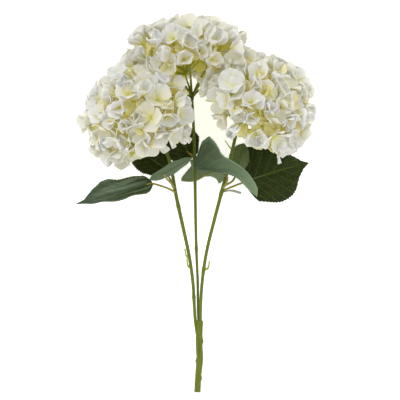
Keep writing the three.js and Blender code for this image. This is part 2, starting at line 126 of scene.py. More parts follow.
def between(values, t):
    """The value at a share t of the way along a list of evenly spaced values."""
    place = max(0.0, min(1.0, t)) * (len(values) - 1)
    low = min(int(place), len(values) - 2)
    return values[low] + (values[low + 1] - values[low]) * (place - low)


def bell(distance, width):
    return math.exp(-((distance / width) ** 2))


# ---- The branch's plan, as its solids have it ----

MAIN_STEM = [[0, 0, 0], [1.4, 24, 0], [3.4, 46, 0.4], [2.6, 70, 0], [3.4, 100, 0]]
KNUCKLES = [(20, 180, 1.2), (47, 20, 1.5), (76, 170, 1.6)]

HEADS = {
    "left": dict(
        node=(-50, 352, -14), centre=(-78, 390, 10), broad=71, tall=64, deep=1, skirt=122,
        florets=54, cymes=9, turn=0.4, gives={"top": 0.98, "right": 1},
        lobes=[((0.2, -0.98, 0.1), -0.27), ((-0.6, -0.8, 0), 0.06), ((-0.72, 0.7, 0), -0.13)],
    ),
    "top": dict(
        node=(-7.4, 413, -12), centre=(-14, 459, -14), broad=74, tall=58, deep=0.86, skirt=108,
        florets=46, cymes=8, turn=1.3, gives={"left": 1.26, "right": 1.26},
        lobes=[((-1, 0.1, 0), 0.1), ((0.1, 1, 0), -0.13), ((1, 0.4, 0), 0.03)],
    ),
    "right": dict(
        node=(56.6, 371, -7), centre=(84, 404, 12), broad=75, tall=53, deep=1, skirt=118,
        florets=48, cymes=9, turn=2.2, gives={"top": 0.98, "left": 1},
        lobes=[((1, 0, 0), 0.07), ((0.75, -0.66, 0), -0.09), ((0, 1, 0), -0.1), ((0.1, -1, 0), -0.05)],
    ),
}

BRANCHES = {
    "left": [
        (0.6, 76, 0.4), (-2.6, 98, 0.6), (-4.2, 120, 0.6), (-6.2, 154, 0), (-11.6, 192, -2),
        (-21.2, 236, -5), (-30, 276, -8), (-38.6, 322, -11), HEADS["left"]["node"],
    ],
    "centre": [
        (2.6, 86, -0.6), (1.0, 118, -4.4), (0.4, 158, -4.6), (-1.4, 203, -6), (-2.6, 262, -8),
        (-3.6, 320, -10), (-5.6, 378, -12), HEADS["top"]["node"],
    ],
    "right": [
        (4.4, 84, 0.6), (4.6, 120, 1.4), (7.2, 158, 1), (13.4, 198, -1), (23, 237, -3),
        (34.2, 280, -5), (44.4, 318, -6), (53.6, 358, -7), HEADS["right"]["node"],
    ],
}

RAY_REACH = 0.42
HUB_REACH = 0.58
SOLID_FLORET_RADIUS = 14.5
SOLID_FLORET_CUP = 10.5
SOLID_FLORET_SPIN = 1.5
SOLID_SEPAL_HALF_ANGLE = math.radians(26)
SOLID_SEPAL_NOTCH = 0.34
GOLDEN_ANGLE = math.pi * (3 - math.sqrt(5))
LOBE_SPREAD = 0.16
AREA_STEPS = 400


def polar_angle(head, share):
    """The angle from the crown within which the head's spheroid holds that share of its skirt's area."""
    end = math.radians(head["skirt"])
    if "areas" not in head:
        areas = [0.0]
        for i in range(1, AREA_STEPS + 1):
            angle = end * (i - 0.5) / AREA_STEPS
            slant = math.hypot(head["broad"] * math.cos(angle), head["tall"] * math.sin(angle))
            areas.append(areas[-1] + math.sin(angle) * slant)
        head["areas"] = areas
    areas = head["areas"]
    return end * next(i for i, area in enumerate(areas) if area >= share * areas[-1]) / AREA_STEPS


def head_axes(head):
    crown = (at(head["centre"]) - at(head["node"])).normalized()
    side = crown.cross(Vector((0, 0, 1))).normalized()
    return crown, side, side.cross(crown).normalized()


def sites(head, count):
    """(offset from the head's centre, the way it faces) of places spread evenly over the head."""
    crown, side, rise = head_axes(head)
    broad, tall, deep = head["broad"], head["tall"], head["broad"] * head["deep"]
    found = []
    for i in range(count):
        down = polar_angle(head, (i + 0.5) / count)
        around = i * GOLDEN_ANGLE + head["turn"]
        c, s, r = math.cos(down), math.sin(down) * math.cos(around), math.sin(down) * math.sin(around)
        offset = crown * tall * c + side * broad * s + rise * deep * r
        facing = (crown * c / tall + side * s / broad + rise * r / deep).normalized()
        found.append((offset, facing))
    return found


def lumpy(head, offset):
    """The offset with the head's lobes pushed out and its hollows pulled in."""
    out = offset.normalized()
    gain = sum(
        share * math.exp(-((1 - out.dot(towards(way))) / LOBE_SPREAD)) for way, share in head["lobes"]
    )
    return offset * (1 + gain)


def depth_in(head, point):
    """How far out of a head a point is: 1 on the spheroid that holds its florets."""
    crown, side, rise = head_axes(head)
    offset = point - head["middle"]
    return math.hypot(
        offset.dot(crown) / head["tall"],
        offset.dot(side) / head["broad"],
        offset.dot(rise) / (head["broad"] * head["deep"]),
    )


def lowest_corner(base, facing, spin):
    """The height of the lowest corner of a floret's solid."""
    first = facing.cross(towards((0, 1, 0)))
    if first.length < 0.1:
        first = facing.cross(towards((1, 0, 0)))
    first.normalize()
    second = facing.cross(first)
    heights = []
    for k in range(4):
        middle = spin + k * math.pi / 2
        ends = [(middle + side * SOLID_SEPAL_HALF_ANGLE, 1) for side in (-1, 1)]
        for angle, share in [*ends, (middle - math.pi / 4, SOLID_SEPAL_NOTCH)]:
            out = first * math.cos(angle) + second * math.sin(angle)
            corner = base + out * SOLID_FLORET_RADIUS * share + facing * SOLID_FLORET_CUP * share**2
            heights.append(corner.z)
    return min(heights)


def settle(head):
    """Moves the head's middle up or down until its lowest floret touches the table."""
    head["middle"] = at(head["centre"])
    head["root"] = at(head["node"])
    lowest = min(
        lowest_corner(head["middle"] + offset, facing, i * SOLID_FLORET_SPIN)
        for i, (offset, facing) in enumerate(sites(head, head["florets"]))
    )
    head["middle"].z -= lowest
    head["settled"] = -lowest / math.cos(STEM_PLANE_SLOPE)


for head in HEADS.values():
    settle(head)


CROWDING = 0.14  # how far petals press into a neighbouring head, as a share of its radius


def clear_of_neighbours(head, point, crowding=CROWDING):
    return all(depth_in(HEADS[other], point) > clear - crowding for other, clear in head["gives"].items())


# Middle, and reach across and along, of the gap that shows the top head's rays.
RAYS_SHOW = ((-8, 412, 0), 23, 52)


def hides_rays(point):
    """Whether a floret there would hide the rays of the top head."""
    middle, wide, high = RAYS_SHOW
    offset = point - at(middle)
    return math.hypot(offset.dot(towards((1, 0, 0))) / wide, offset.dot(towards((0, 1, 0))) / high) < 1


# ---- Sizes and colours that a user would change ----


def linear(hex_colour):
    """A linear RGBA colour from an sRGB hex value."""
    channels = [int(hex_colour[i : i + 2], 16) / 255 for i in (1, 3, 5)]
    return [c / 12.92 if c <= 0.04045 else ((c + 0.055) / 1.055) ** 2.4 for c in channels] + [1.0]


def in_mm(name, description, default_mm):
    return bpy.props.FloatProperty(
        name=name, description=description, default=default_mm * MM, unit="LENGTH", precision=4
    )


def srgb(name, description, hex_colour):
    return bpy.props.FloatVectorProperty(
        name=name, description=description, default=linear(hex_colour), size=4, subtype="COLOR",
        min=0, max=1,
    )


class HydrangeaSizes(bpy.types.PropertyGroup):
    sepal_length: in_mm("Sepal length", "From the floret's middle to a sepal's tip", 22)
    sepal_width: in_mm("Sepal width", "Widest part of a sepal", 24)
    sepal_thickness: in_mm("Sepal thickness", "Thickness of a sepal", 0.45)
    bead_radius: in_mm("Bead radius", "Radius of the bead in a floret's middle", 1.8)
    pedicel_radius: in_mm("Pedicel radius", "Radius of the stalk of one floret", 0.7)
    leaf_thickness: in_mm("Leaf thickness", "Thickness of a leaf's blade", 0.7)
    tooth_depth: in_mm("Tooth depth", "How far a leaf's teeth stand out", 3.0)
    quilt_depth: in_mm("Quilt depth", "How far a blade swells between its veins", 0.7)


class HydrangeaColours(bpy.types.PropertyGroup):
    petal: srgb("Petal", "Outer part of a sepal", "#d6d7d6")
    petal_heart: srgb("Petal heart", "Foot of a sepal", "#b8bc40")
    # Painted shade: the warm yellow given to sepals deep in a head, standing for the shade and bounced
    # light there.
    petal_painted_shade: srgb("Petal shade", "Sepals deep inside a head", "#f2e888")
    bead: srgb("Bead", "Bead in a floret's middle", "#b4c033")
    pedicel: srgb("Pedicel", "Stalks inside a head", "#bcc53c")
    ray: srgb("Ray", "Thick stalks under a head", "#4c5c20")
    stem: srgb("Stem", "Lower stems", "#6b7a20")
    stem_top: srgb("Stem top", "Stems near the heads", "#54641c")
    petiole: srgb("Petiole", "Stalks of the leaves", "#a59b44")
    leaf_deep: srgb("Leaf, deep green", "Upper side of the old leaves", "#1f2a0b")
    # Painted sheen: the long leaf's upper side, whose pale patches stand for the sheen of light on it.
    leaf_satin: srgb("Leaf, satin", "Upper side of the long leaf", "#28391c")
    leaf_young: srgb("Leaf, young", "Upper side of the young leaf", "#5c6d44")
    leaf_under: srgb("Leaf, underside", "Underside of a leaf", "#5e7050")
    # Painted light: the low leaf's underside is painted lighter than the other undersides, to make up for
    # the shade that the heads cast on it.
    leaf_pale: srgb("Leaf, pale underside", "Underside of the low leaf", "#84966c")
    leaf_fold: srgb("Leaf, folded", "Underside of the folded leaf", "#43533a")
    bud: srgb("Bud", "Hooked buds", "#a09e2c")
    sheath: srgb("Sheath", "Dry curled sheath", "#8b9187")


# ---- Materials ----


def add(tree, kind, sockets=(), out=0, **settings):
    """Adds a node with its settings, sets or links its sockets, and gives one of its outputs.

    The sockets are a list in their order, or a dict by their numbers or names.
    """
    node = tree.nodes.new(kind)
    for name, value in settings.items():
        setattr(node, name, value)
    for key, value in sockets.items() if isinstance(sockets, dict) else enumerate(sockets):
        if isinstance(value, bpy.types.NodeSocket):
            tree.links.new(value, node.inputs[key])
        else:
            node.inputs[key].default_value = value
    return node if out is None else node.outputs[out]


# A Mix node's colours are its sockets 6 and 7. A Map Range's ends are 1 and 2, and 3 and 4 after it.
MATH = "ShaderNodeMath"
MIX = "ShaderNodeMix"
REMAP = "ShaderNodeMapRange"
NOISE = "ShaderNodeTexNoise"
BUMP = "ShaderNodeBump"
OVER = dict(out=2, data_type="RGBA")  # one colour laid over another
TIMES = dict(OVER, blend_type="MULTIPLY")  # a colour made darker or lighter


def blank(name, *mark_names, **shader_values):
    """A new material: what adds a node to it, its shader, its Object coordinates and its marks."""
    made = bpy.data.materials.new(name)
    made.use_nodes = True
    node = partial(add, made.node_tree)
    shader = made.node_tree.nodes["Principled BSDF"]
    for key, value in shader_values.items():
        shader.inputs[key.replace("_", " ")].default_value = value
    place = node("ShaderNodeTexCoord", out="Object")
    marks = [node("ShaderNodeAttribute", out="Fac", attribute_name=mark) for mark in mark_names]
    return made, node, shader, place, *marks


def plug(shader, **values):
    """Links values to the shader's sockets."""
    for key, value in values.items():
        shader.id_data.links.new(value, shader.inputs[key.replace("_", " ")])


def per_mm(size):
    """The scale of a pattern whose features are that many millimetres wide."""
    return 1 / (size * MM)


SEPAL_CREAM = 0.34  # the most cream that a sepal may have
SEPAL_VEINS = 24.0


def petal_material(colours):
    """Sepal, fresh: soft and matt, thin enough that light goes some way in.

    The faint glow stands for light that has crossed many sepals, yellower the deeper it went.
    """
    made, node, shader, place, reach, side, tint, depth = blank(
        "sepal_fresh_matt", "reach", "side", "tint", "depth", Roughness=0.65, Specular_IOR_Level=0.25,
        Subsurface_Weight=0.55, Subsurface_Radius=(1.0, 0.95, 0.8), Subsurface_Scale=2.5 * MM,
        Emission_Strength=0.075,
    )
    stops = [
        (0.0, list(colours.petal_heart)),
        (0.1, linear("#d0cc6c")),
        (0.3, linear("#e1deba")),
        (0.58, list(colours.petal)),
    ]
    outward = node("ShaderNodeValToRGB", [reach], None)
    elements = outward.color_ramp.elements
    for position, colour in stops[2:]:
        elements.new(position)
    for element, (position, colour) in zip(elements, stops):
        element.position = position
        element.color = colour
    rim = node(MATH, [side, reach], operation="MULTIPLY", use_clamp=True)
    thin_rim = node(MATH, [rim, 3.0], operation="POWER")
    rimmed = node(MIX, {0: thin_rim, 6: outward.outputs[0], 7: linear("#f4f4f4")}, **OVER)
    cream = node(MATH, [tint, SEPAL_CREAM], operation="MULTIPLY")
    creamy = node(MIX, {0: cream, 6: rimmed, 7: linear("#e2da9f")}, **OVER)
    # Painted shade: the deeper a sepal lies in its head, the more it takes of the painted shade colour.
    inside = node(MIX, {0: depth, 6: creamy, 7: list(colours.petal_painted_shade)}, **OVER)
    blotches = node(NOISE, {"Vector": place, "Scale": per_mm(14), "Detail": 2.0})
    toned = node(REMAP, {0: blotches, 3: 0.93, 4: 1.03})
    tinted = node(MIX, {0: 1.0, 6: inside, 7: toned}, **TIMES)
    foot = node(REMAP, [reach, 0.1, 0.6, 0.5, 0.0])
    deep = node(MATH, [foot, depth], operation="MAXIMUM")
    glow = node(MIX, {0: deep, 6: linear("#e2e1d4"), 7: linear("#efe358")}, **OVER)
    fanned = node(MATH, [side, SEPAL_VEINS], operation="MULTIPLY")
    veins = node(MATH, [fanned], operation="SINE")
    crepe = node(NOISE, {"Vector": place, "Scale": per_mm(1.2), "Detail": 3.0})
    relief = node(MATH, [veins, 0.3, crepe], operation="MULTIPLY_ADD")
    bump = node(BUMP, {"Height": relief, "Distance": 0.25 * MM, "Strength": 0.35})
    plug(shader, Base_Color=tinted, Emission_Color=glow, Normal=bump)
    return made


STREAKS_ROUND = 40.0
STREAKS_PER_MM = 0.04


def stalk_material(name, low, high, roughness=0.5):
    """Green stem: a smooth skin with fine streaks along it and pale flecks."""
    made, node, shader, place, reach, side, run = blank(
        name, "reach", "side", "run", Roughness=roughness, Specular_IOR_Level=0.22
    )
    # The colour runs from the low colour at the foot of the stalk to the high colour at its tip.
    graded = node(MIX, {0: reach, 6: list(low), 7: list(high)}, **OVER)
    around = node(MATH, [side, STREAKS_ROUND], operation="MULTIPLY")
    along = node(MATH, [run, STREAKS_PER_MM], operation="MULTIPLY")
    drawn_out = node("ShaderNodeCombineXYZ", [around, along])
    streaks = node(NOISE, {"Vector": drawn_out, "Scale": 1.0, "Detail": 3.0})
    toned = node(REMAP, [streaks, 0.3, 0.7, 0.7, 1.2])
    streaked = node(MIX, {0: 1.0, 6: graded, 7: toned}, **TIMES)
    spots = node(NOISE, {"Vector": place, "Scale": per_mm(1.6), "Detail": 1.0})
    fleck = node(REMAP, {0: spots, 1: 0.64, 2: 0.7, 4: 0.4})
    flecked = node(MIX, {0: fleck, 6: streaked, 7: linear("#b9b878")}, **OVER)
    height = node(MATH, [streaks, fleck], operation="ADD")
    bump = node(BUMP, {"Height": height, "Distance": 0.2 * MM, "Strength": 0.5})
    plug(shader, Base_Color=flecked, Normal=bump)
    return made


VEIN_PAIRS = 7
VEIN_SLANT = 0.34
VEIN_BEND = 0.8


def blade_material(name, base, patch_and_sheen, tip, vein, vein_share, net_light, margin, roughness, specular):
    """Leaf: pale veins, a fine net of cells and a pale margin, in patches drawn out along the blade; the
    long leaf's pale patches are a painted sheen.
    """
    made, node, shader, place, reach, side = blank(
        name, "reach", "side", Roughness=roughness, Specular_IOR_Level=specular
    )
    off = node(MATH, [side], operation="ABSOLUTE")
    bent = node(MATH, [off, VEIN_BEND], operation="POWER")
    start = node(MATH, [bent, -VEIN_SLANT, reach], operation="MULTIPLY_ADD")
    count = node(MATH, [start, float(VEIN_PAIRS)], operation="MULTIPLY")
    away = node(MATH, [count, 0.5], operation="PINGPONG")
    side_vein = node(REMAP, [away, 0.015, 0.07, 0.7, 0.0])
    midrib = node(REMAP, [off, 0.012, 0.045, 1.0, 0.0])
    veins = node(MATH, [side_vein, midrib], operation="MAXIMUM")

    across = node(MATH, [side, 2.4], operation="MULTIPLY")
    drawn_out = node("ShaderNodeCombineXYZ", [across, reach])
    # Patches of a second colour: random tone on most leaves, a painted sheen on the long leaf.
    streaks = node(NOISE, {"Vector": drawn_out, "Scale": 1.3, "Detail": 3.0})
    patches = node(REMAP, [streaks, 0.47, 0.63])
    varied = node(MIX, {0: patches, 6: list(base), 7: patch_and_sheen}, **OVER)
    far = node(MATH, [reach, 1.6], operation="POWER")
    turned_pale = node(MIX, {0: far, 6: varied, 7: tip}, **OVER)
    cell_size = {"Vector": place, "Scale": per_mm(3.2)}
    cells = node("ShaderNodeTexVoronoi", cell_size, feature="DISTANCE_TO_EDGE")
    net = node(REMAP, [cells, 0.02, 0.16, net_light, 0.92])
    netted = node(MIX, {0: 1.0, 6: turned_pale, 7: net}, **TIMES)
    vein_line = node(MATH, [veins, vein_share], operation="MULTIPLY")
    edge = node(REMAP, {0: off, 1: 0.84, 2: 0.97, 4: margin})
    vein_mix = node(MATH, [vein_line, edge], operation="MAXIMUM")
    veined = node(MIX, {0: vein_mix, 6: netted, 7: list(vein)}, **OVER)
    sunken = node(MATH, [cells, 0.6], operation="MULTIPLY")
    relief = node(MATH, [veins, -1.0, sunken], operation="MULTIPLY_ADD")
    bump = node(BUMP, {"Height": relief, "Distance": 0.5 * MM, "Strength": 0.6})
    plug(shader, Base_Color=veined, Normal=bump)
    return made


def bead_material(colours):
    """Unopened flower in a floret's middle: a smooth waxy bead."""
    made, node, shader, place = blank("bead_waxy", Roughness=0.4)
    blush = node(NOISE, {"Vector": place, "Scale": per_mm(1.5)})
    tone = node(MIX, {0: blush, 6: list(colours.bead), 7: linear("#c9cc60")}, **OVER)
    plug(shader, Base_Color=tone)
    return made


finishes = {}


def make_finishes():
    """Every material of the branch, by its plain name."""
    colours = bpy.context.scene.hydrangea_colours
    finishes["petal"] = petal_material(colours)
    finishes["bead"] = bead_material(colours)
    finishes["pedicel"] = stalk_material("pedicel_green_skin", colours.pedicel, linear("#ccd05c"))
    finishes["ray"] = stalk_material("ray_green_skin", colours.ray, colours.pedicel)
    finishes["stem"] = stalk_material("stem_green_skin", colours.stem, colours.stem_top)
    finishes["bud"] = stalk_material("bud_smooth_skin", colours.bud, linear("#b8b548"))
    finishes["sheath"] = stalk_material("sheath_dry_papery", colours.sheath, linear("#a4a99c"), 0.8)
    finishes["petiole"] = stalk_material("petiole_smooth_skin", colours.petiole, linear("#958b3c"))
    # Each leaf finish: its patches (a painted sheen on the long leaf), tip and veins, then how strong
    # the veins, the net and the pale margin are, its roughness and its gloss.
    for name, patch_and_sheen, tip, vein, *numbers in (
        ("leaf_deep", "#26310e", "#2c3812", "#66722f", 0.5, 2.1, 0.0, 0.6, 0.16),
        # The long leaf: dark green with pale patches of painted sheen.
        ("leaf_satin", "#667760", "#31461f", "#7d8f70", 0.35, 1.2, 0.35, 0.45, 0.3),
        ("leaf_young", "#667850", "#627348", "#66774a", 0.5, 1.1, 0.1, 0.6, 0.25),
        ("leaf_under", "#6a7b59", "#66775a", "#82967a", 0.4, 1.06, 0.3, 0.7, 0.25),
        # The low leaf's underside, painted lighter against the shade of the heads.
        ("leaf_pale", "#84966f", "#7c8d68", "#93a584", 0.4, 1.06, 0.2, 0.7, 0.25),
        ("leaf_fold", "#4b5c3e", "#859a76", "#8ca584", 0.22, 1.06, 0.65, 0.7, 0.25),
    ):
        tones = [getattr(colours, name), *map(linear, (patch_and_sheen, tip, vein))]
        finishes[name] = blade_material(name, *tones, *numbers)


# ---- Making pieces ----


# What each mark holds, where it isn't a plain number.
MARK_KINDS = {"is_sepal": "BOOLEAN", "is_bead": "BOOLEAN", "kind": "INT", "turn": "FLOAT_VECTOR"}
SKIN_MARKS = ("reach", "side", "run")
CLUSTER_MARKS = ("is_sepal", "is_bead", "kind", "turn", "size", "thick", "depth", "tint", "reach")


class Draft:
    """The points, lines, faces and per-point marks of a mesh that is being made, in millimetres."""

    def __init__(self, mark_names=SKIN_MARKS):
        self.points, self.lines, self.faces = [], [], []
        self.face_finish, self.face_smooth = [], []
        self.marks = {name: [] for name in mark_names}

    def point(self, place, **marks):
        self.points.append(place)
        for name, values in self.marks.items():
            values.append(marks.get(name, (0, 0, 0) if name == "turn" else 0))
        return len(self.points) - 1

    def line(self, places, thickness, reach):
        first = len(self.points)
        for i, place in enumerate(places):
            t = i / (len(places) - 1)
            self.point(place, thick=between(thickness, t) * MM, reach=between(reach, t))
        self.lines += [(first + i, first + i + 1) for i in range(len(places) - 1)]

    def face(self, corners, finish=0, smooth=True):
        self.faces.append(corners)
        self.face_finish.append(finish)
        self.face_smooth.append(smooth)

    def shell(self, upper, lower, columns, under=0):
        """Adds a thin shell's two sides and its flat rim. `under` is the finish of all but its top."""
        last = len(upper) // columns - 1
        for i in range(last):
            for j in range(columns - 1):
                a, b = i * columns + j, i * columns + j + 1
                c, d = b + columns, a + columns
                self.face((upper[a], upper[d], upper[c], upper[b]))
                self.face((lower[a], lower[b], lower[c], lower[d]), under)
        rim = list(range(columns))
        rim += [i * columns + columns - 1 for i in range(1, last + 1)]
        rim += [last * columns + j for j in range(columns - 2, -1, -1)]
        rim += [i * columns for i in range(last - 1, 0, -1)]
        for here, after in zip(rim, rim[1:] + rim[:1]):
            self.face((upper[here], upper[after], lower[after], lower[here]), under, False)

    def mesh(self, name, *materials):
        made = bpy.data.meshes.new(name)
        made.from_pydata([point * MM for point in self.points], self.lines, self.faces)
        for mark_name, values in self.marks.items():
            layer = made.attributes.new(mark_name, MARK_KINDS.get(mark_name, "FLOAT"), "POINT")
            if mark_name == "turn":
                layer.data.foreach_set("vector", [c for value in values for c in value])
            else:
                layer.data.foreach_set("value", values)
        if self.faces:
            made.polygons.foreach_set("material_index", self.face_finish)
            made.polygons.foreach_set("use_smooth", self.face_smooth)
            made.validate()
        for material in materials:
            made.materials.append(finishes[material])
        return made


def limb(skin, path, radii, sides, finish=0, reach=(0.0, 1.0), swell=None):
    """Adds a closed round limb along the path. `swell` gives extra radius at (share, angle)."""
    rings = []
    side = None
    run = 0.0
    for i, middle in enumerate(path):
        ahead = path[min(i + 1, len(path) - 1)] - path[max(i - 1, 0)]
        ahead.normalize()
        if side is None:
            side = ahead.cross(towards((0.1, 0.2, 1))).normalized()
        side = (side - ahead * side.dot(ahead)).normalized()
        other = side.cross(ahead)
        if i:
            run += (middle - path[i - 1]).length
        t = i / (len(path) - 1)
        ring = []
        for k in range(sides):
            angle = 2 * math.pi * k / sides
            radius = between(radii, t) + (swell(t, angle) if swell else 0.0)
            out = side * math.cos(angle) + other * math.sin(angle)
            marks = dict(reach=between(reach, t), side=k / sides, run=run)
            ring.append(skin.point(middle + out * radius, **marks))
        rings.append(ring)
    for lower, upper in zip(rings, rings[1:]):
        for k in range(sides):
            after = (k + 1) % sides
            skin.face((lower[after], lower[k], upper[k], upper[after]), finish)
    for ring, middle, t, flip in ((rings[0], path[0], 0.0, False), (rings[-1], path[-1], 1.0, True)):
        centre = skin.point(middle, reach=between(reach, t), side=0.5, run=run * t)
        for k in range(sides):
            after = (k + 1) % sides
            corners = (ring[after], ring[k], centre) if flip else (ring[k], ring[after], centre)
            skin.face(corners, finish)


TABLE_GAP = 0.15
TABLE_GIVE = 5.0  # height within which what hangs low is pressed up


def lay_down(mesh):
    """Presses whatever would go through the table onto it, as soft petals and leaves lie."""
    count = len(mesh.vertices)
    places = np.empty(count * 3)
    mesh.vertices.foreach_get("co", places)
    heights = places[2::3] / MM
    knee = TABLE_GAP + TABLE_GIVE
    low = heights < knee
    heights[low] = TABLE_GAP + TABLE_GIVE * np.exp((heights[low] - knee) / TABLE_GIVE)
    places[2::3] = heights * MM
    mesh.vertices.foreach_set("co", places)


def piece(name, mesh, node):
    """Puts a finished piece into the frame in place of its solid."""
    made = bpy.data.objects.new(name, mesh)
    bpy.context.scene.collection.objects.link(made)
    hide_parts(node)
    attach(made, "root")


# ---- Stems ----


STEM_RADII = (4.5, 4.4, 4.7, 4.9, 4.9, 4.7)
BRANCH_RADII = (2.3, 2.3, 2.6, 2.2)
CENTRE_GIRTH = 0.84  # the centre branch's, as a share of its neighbours'
LIP = 97  # place of the main stem's rolled lip
BRANCH_NODES = dict(left=(0.30, 0.70), centre=(0.42, 0.74), right=(0.29, 0.62))


def main_stem_swell(t, angle):
    """Knuckles, long ridges and a rolled lip at the top of the main stem."""
    along = t * MAIN_STEM[-1][1]
    extra = 0.12 * math.sin(angle * 5 + along * 0.05)
    extra += 0.1 * noise.noise(Vector((along * 0.12, angle, 3)))
    for place, turn, proud in KNUCKLES:
        away = math.cos(angle - math.pi / 2 - math.radians(turn + 90))
        extra += proud * bell(along - place, 3.2) * max(0.0, away) ** 2
    return extra + 0.35 * bell(along - LIP, 2.5)


def branch_swell(name):
    """Gentle waves, and a node where the leaves or buds leave the branch."""

    def swell(t, angle):
        extra = 0.07 * math.sin(angle * 3 + t * 9) + 0.1 * noise.noise(Vector((t * 20, angle, 1)))
        return extra + sum(0.55 * bell(t - node, 0.012) for node in BRANCH_NODES[name])

    return swell


class HYDRANGEA_OT_stems(bpy.types.Operator):
    """Builds the main stem and the three branches"""

    bl_idname = "hydrangea.stems"
    bl_label = "Stems"

    def execute(self, context):
        skin = Draft()
        path = smooth_path([at(place) for place in MAIN_STEM], 90)
        limb(skin, path, STEM_RADII, 28, reach=(0.0, 0.1), swell=main_stem_swell)
        piece("main_stem_skin", skin.mesh("main_stem_skin", "stem"), "main_stem")
        for name, places in BRANCHES.items():
            skin = Draft()
            path = smooth_path([at(place) for place in places], 150)
            top, girth = (0.9, CENTRE_GIRTH) if name == "centre" else (0.45, 1.0)
            radii = [radius * girth for radius in BRANCH_RADII]
            limb(skin, path, radii, 18, reach=(0.0, top), swell=branch_swell(name))
            label = f"{name}_branch_skin"
            piece(label, skin.mesh(label, "stem"), f"{name}_branch")
        return {"FINISHED"}


# ---- Flower heads ----


# Each layer of florets: how far out it is, as a share of the first, how many florets it has for
# each one that the solids have, and how far its spiral is turned.
LAYERS = ((0.955, 1.75, 0.0), (0.79, 1.1, 1.9), (0.62, 0.6, 3.1))


def cymes(head):
    """(tip of the stalk, florets) of each cyme, a floret being (base, facing, depth in the head)."""
    middle = head["middle"]
    tips = [middle + offset for offset, _ in sites(head, head["cymes"])]

    def nearest(place):
        return min(range(len(tips)), key=lambda i: (tips[i] - place).length)

    bases = [middle + offset for offset, _ in sites(head, head["florets"])]
    owners = {nearest(base) for base in bases if clear_of_neighbours(head, base, 0)}
    tips = [tips[i] for i in sorted(owners)]
    florets = [[] for _ in tips]
    for layer, share, turn in LAYERS:
        shifted = dict(head, turn=head["turn"] + turn)
        for offset, facing in sites(shifted, int(head["florets"] * share)):
            base = middle + lumpy(head, offset) * layer
            if clear_of_neighbours(head, base) and not hides_rays(base):
                florets[nearest(base)].append((base, facing, LAYERS[0][0] - layer))
    return list(zip(tips, florets))


SEPAL_ROWS = ((0.0, 0.15), (0.24, 0.6), (0.5, 0.94), (0.76, 1.0), (0.92, 0.84), (1.0, 0.56))
SEPAL_COLUMNS = (-1.0, -0.5, 0.0, 0.5, 1.0)


def sepal(skin, sizes, draw):
    """Adds one sepal as a thin closed shell that reaches along X: cupped, ruffled, its tip rolled."""
    length = sizes.sepal_length / MM * draw.uniform(0.9, 1.1)
    half = sizes.sepal_width / MM / 2 * draw.uniform(0.85, 1.1)
    thickness = sizes.sepal_thickness / MM
    lift = draw.uniform(-1, 4)
    cup = draw.uniform(2.0, 5.0)
    roll = draw.uniform(-5, 9)
    ruffle = draw.uniform(0.15, 0.7)
    phase = draw.uniform(0, 2 * math.pi)
    twist = draw.uniform(-0.22, 0.22)
    upper, lower = [], []
    for s, wide in SEPAL_ROWS:
        for t in SEPAL_COLUMNS:
            reach = length * s * (1 - 0.12 * t * t * s)
            across = half * wide * t
            height = lift * s + cup * t * t * s + ruffle * math.sin(phase + 4.2 * t + 2 * s) * s**1.5
            height += twist * across * s - roll * max(0.0, s - 0.5) ** 2
            place = Vector((reach, across, height))
            upper.append(skin.point(place, reach=s, side=abs(t)))
            lower.append(skin.point(place - Vector((0, 0, thickness)), reach=s, side=abs(t)))
    skin.shell(upper, lower, len(SEPAL_COLUMNS))


SEPAL_KINDS = 14


def sepal_patterns(sizes):
    """A collection of differently ruffled sepals for the clusters to pick from."""
    patterns = bpy.data.collections.new("sepal_patterns")
    for kind in range(SEPAL_KINDS):
        skin = Draft()
        sepal(skin, sizes, random.Random(100 + kind))
        label = f"sepal_pattern_{kind}"
        patterns.objects.link(bpy.data.objects.new(label, skin.mesh(label, "petal")))
    return patterns


